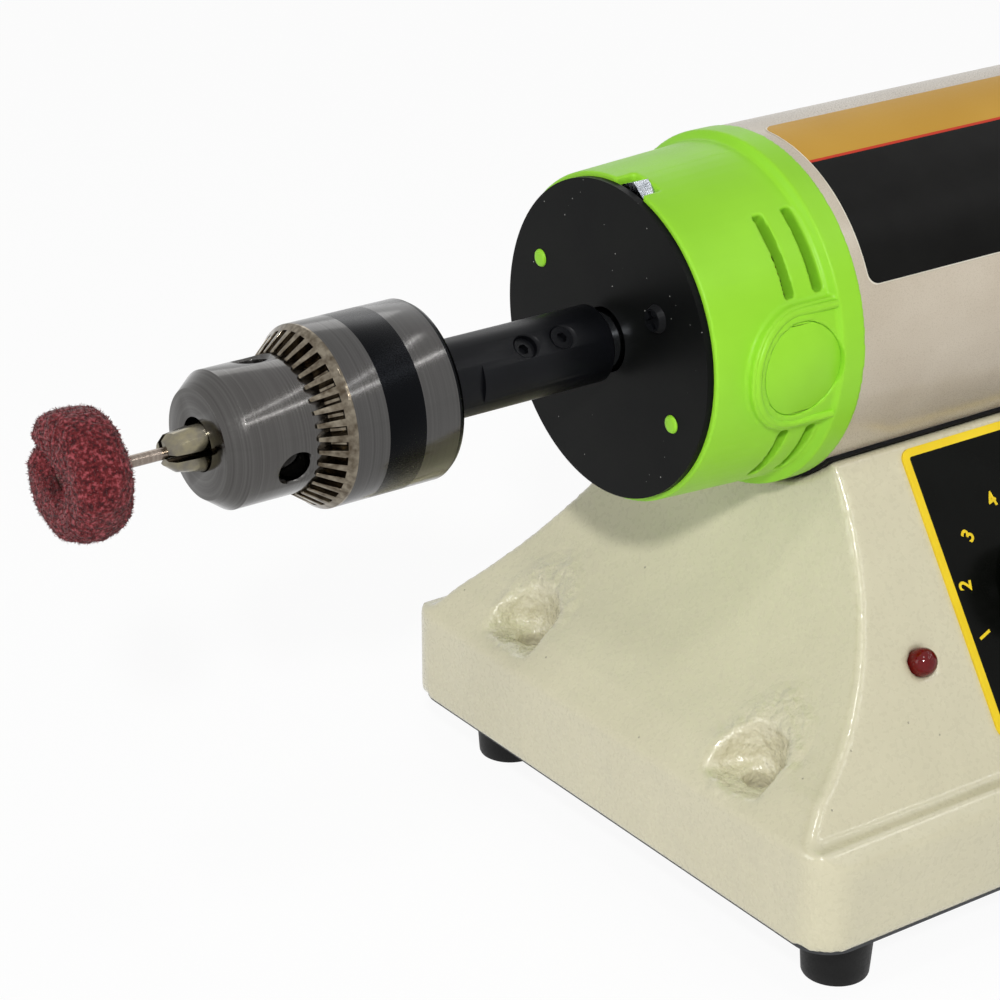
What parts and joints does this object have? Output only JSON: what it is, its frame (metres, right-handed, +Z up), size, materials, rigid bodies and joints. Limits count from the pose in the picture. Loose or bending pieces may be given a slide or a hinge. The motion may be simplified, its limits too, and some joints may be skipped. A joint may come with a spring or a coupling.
{
  "type": "jewelry polishing machine",
  "caption": "Bench polishing motor on a cast base: a keyed drill chuck holds a fibre wheel on a mandrel, with speed knob, rocker switch and a flexible-shaft nose.",
  "frame": {"origin": "under the middle of the whole machine's length and depth, on the bench top that the feet stand on", "axes": "+X along the spindle away from the chuck, -Y towards the operator who faces the control panel, +Z up"},
  "size_m": [0.32, 0.147, 0.1623],
  "materials": {
    "cream_enamel": "gloss",
    "gasket_rubber": "matte",
    "black_sheet": "satin",
    "foot_rubber": "matte",
    "zinc_plated_steel": "satin",
    "pearl_paint": "satin",
    "label_film": "gloss",
    "green_abs": "satin",
    "black_steel": "satin",
    "black_oxide": "satin",
    "lamination_steel": "matte",
    "coil_wire": "satin",
    "bearing_steel": "polished",
    "cage_brass": "satin",
    "holder_brass": "satin",
    "brush_carbon": "matte",
    "spring_steel": "satin",
    "commutator_copper": "satin",
    "fan_nylon": "matte",
    "ground_steel": "polished",
    "jaw_steel": "satin",
    "abrasive_fleece": "matte",
    "panel_film": "gloss",
    "pot_case": "satin",
    "black_plastic": "satin",
    "red_rocker": "gloss",
    "red_lens": "gloss",
    "grommet_rubber": "matte",
    "board_laminate": "satin",
    "standoff_brass": "satin",
    "sink_aluminium": "satin",
    "capacitor_case": "satin",
    "nose_steel": "satin"
  },
  "bodies": {
    "machine": {"base_casting": "cream_enamel", "saddle_gasket": "gasket_rubber", "bottom_cover": "black_sheet", "rubber_feet": "foot_rubber", "foot_screws": "zinc_plated_steel", "motor_tube": "pearl_paint", "rating_label": "label_film", "left_end_cap": "green_abs", "right_end_cap": "green_abs", "left_end_disc": "black_steel", "right_end_disc": "black_steel", "end_disc_screws": "black_oxide", "through_bolts": "zinc_plated_steel", "motor_mount_bolts": "zinc_plated_steel", "motor_mount_nuts": "zinc_plated_steel", "stator_core": "lamination_steel", "field_coils": "coil_wire", "bearing_outer_rings": "bearing_steel", "brush_holders": "holder_brass", "front_brush_spring": "spring_steel", "rear_brush_spring": "spring_steel", "brush_covers": "green_abs", "control_panel": "panel_film", "speed_control": "pot_case", "speed_control_nut": "zinc_plated_steel", "switch_housing": "black_plastic", "power_light": "red_lens", "cord_grommet": "grommet_rubber", "circuit_board": "board_laminate", "board_standoffs": "standoff_brass", "board_screws": "zinc_plated_steel", "heat_sink": "sink_aluminium", "capacitor": "capacitor_case", "choke_coil": "coil_wire", "flex_shaft_nose": "nose_steel"},
    "spindle": {"motor_shaft": "ground_steel", "shaft_collar": "ground_steel", "rotor_core": "lamination_steel", "rotor_windings": "coil_wire", "commutator": "commutator_copper", "cooling_fan": "fan_nylon", "bearing_inner_rings": "bearing_steel", "adapter_rod": "black_oxide", "rod_set_screws": "black_oxide", "chuck_body": "ground_steel"},
    "ball_cages": {"bearing_balls": "bearing_steel", "bearing_cages": "cage_brass"},
    "sleeve": {"chuck_sleeve": "ground_steel", "chuck_nut": "ground_steel"},
    "jaw_1": {"chuck_jaw_1": "jaw_steel"},
    "jaw_2": {"chuck_jaw_2": "jaw_steel"},
    "jaw_3": {"chuck_jaw_3": "jaw_steel"},
    "tool": {"wheel_mandrel": "ground_steel", "polishing_wheel": "abrasive_fleece"},
    "front_brush": {"front_brush": "brush_carbon"},
    "rear_brush": {"rear_brush": "brush_carbon"},
    "knob": {"speed_knob": "black_plastic", "speed_control_shaft": "ground_steel"},
    "rocker": {"switch_rocker": "red_rocker"}
  },
  "joints": [
    {"name": "spindle_spin", "type": "hinge", "parent": "machine", "child": "spindle", "pos_m": [0, 0, 0.125], "axis": [1, 0, 0], "continuous": true},
    {"name": "ball_cage_roll", "type": "hinge", "parent": "machine", "child": "ball_cages", "pos_m": [0, 0, 0.125], "axis": [1, 0, 0], "continuous": true},
    {"name": "chuck_sleeve_turn", "type": "hinge", "parent": "spindle", "child": "sleeve", "pos_m": [0, 0, 0.125], "axis": [1, 0, 0], "range_deg": [0, 4500]},
    {"name": "chuck_jaw_1_slide", "type": "slide", "parent": "spindle", "child": "jaw_1", "axis": [0.9781, -0.0846, -0.1899], "range_m": [0, 0.0177]},
    {"name": "chuck_jaw_2_slide", "type": "slide", "parent": "spindle", "child": "jaw_2", "axis": [0.9781, 0.2068, 0.0217], "range_m": [0, 0.0177]},
    {"name": "chuck_jaw_3_slide", "type": "slide", "parent": "spindle", "child": "jaw_3", "axis": [0.9781, -0.1222, 0.1682], "range_m": [0, 0.0177]},
    {"name": "tool_pull", "type": "slide", "parent": "spindle", "child": "tool", "axis": [-1, 0, 0], "range_m": [0, 0.024]},
    {"name": "front_brush_feed", "type": "slide", "parent": "machine", "child": "front_brush", "axis": [0, -1, 0], "range_m": [0, 0.002], "stiffness_N_per_m": 300, "springref_m": -0.005, "deforming": ["front_brush_spring"]},
    {"name": "rear_brush_feed", "type": "slide", "parent": "machine", "child": "rear_brush", "axis": [0, 1, 0], "range_m": [0, 0.002], "stiffness_N_per_m": 300, "springref_m": -0.005, "deforming": ["rear_brush_spring"]},
    {"name": "speed_knob_turn", "type": "hinge", "parent": "machine", "child": "knob", "pos_m": [0.0455, -0.04884, 0.06829], "axis": [0, -0.8303, 0.5573], "range_deg": [-140, 140]},
    {"name": "switch_rocker_tilt", "type": "hinge", "parent": "machine", "child": "rocker", "pos_m": [0.072, -0.04643, 0.06667], "axis": [1, 0, 0], "range_deg": [-20, 0]}
  ],
  "couplings": [
    {"joint": "ball_cage_roll", "follows": "spindle_spin", "ratio": 0.37},
    {"joint": "chuck_jaw_1_slide", "follows": "chuck_sleeve_turn", "m_per_rad": 0.000225},
    {"joint": "chuck_jaw_2_slide", "follows": "chuck_sleeve_turn", "m_per_rad": 0.000225},
    {"joint": "chuck_jaw_3_slide", "follows": "chuck_sleeve_turn", "m_per_rad": 0.000225}
  ]
}
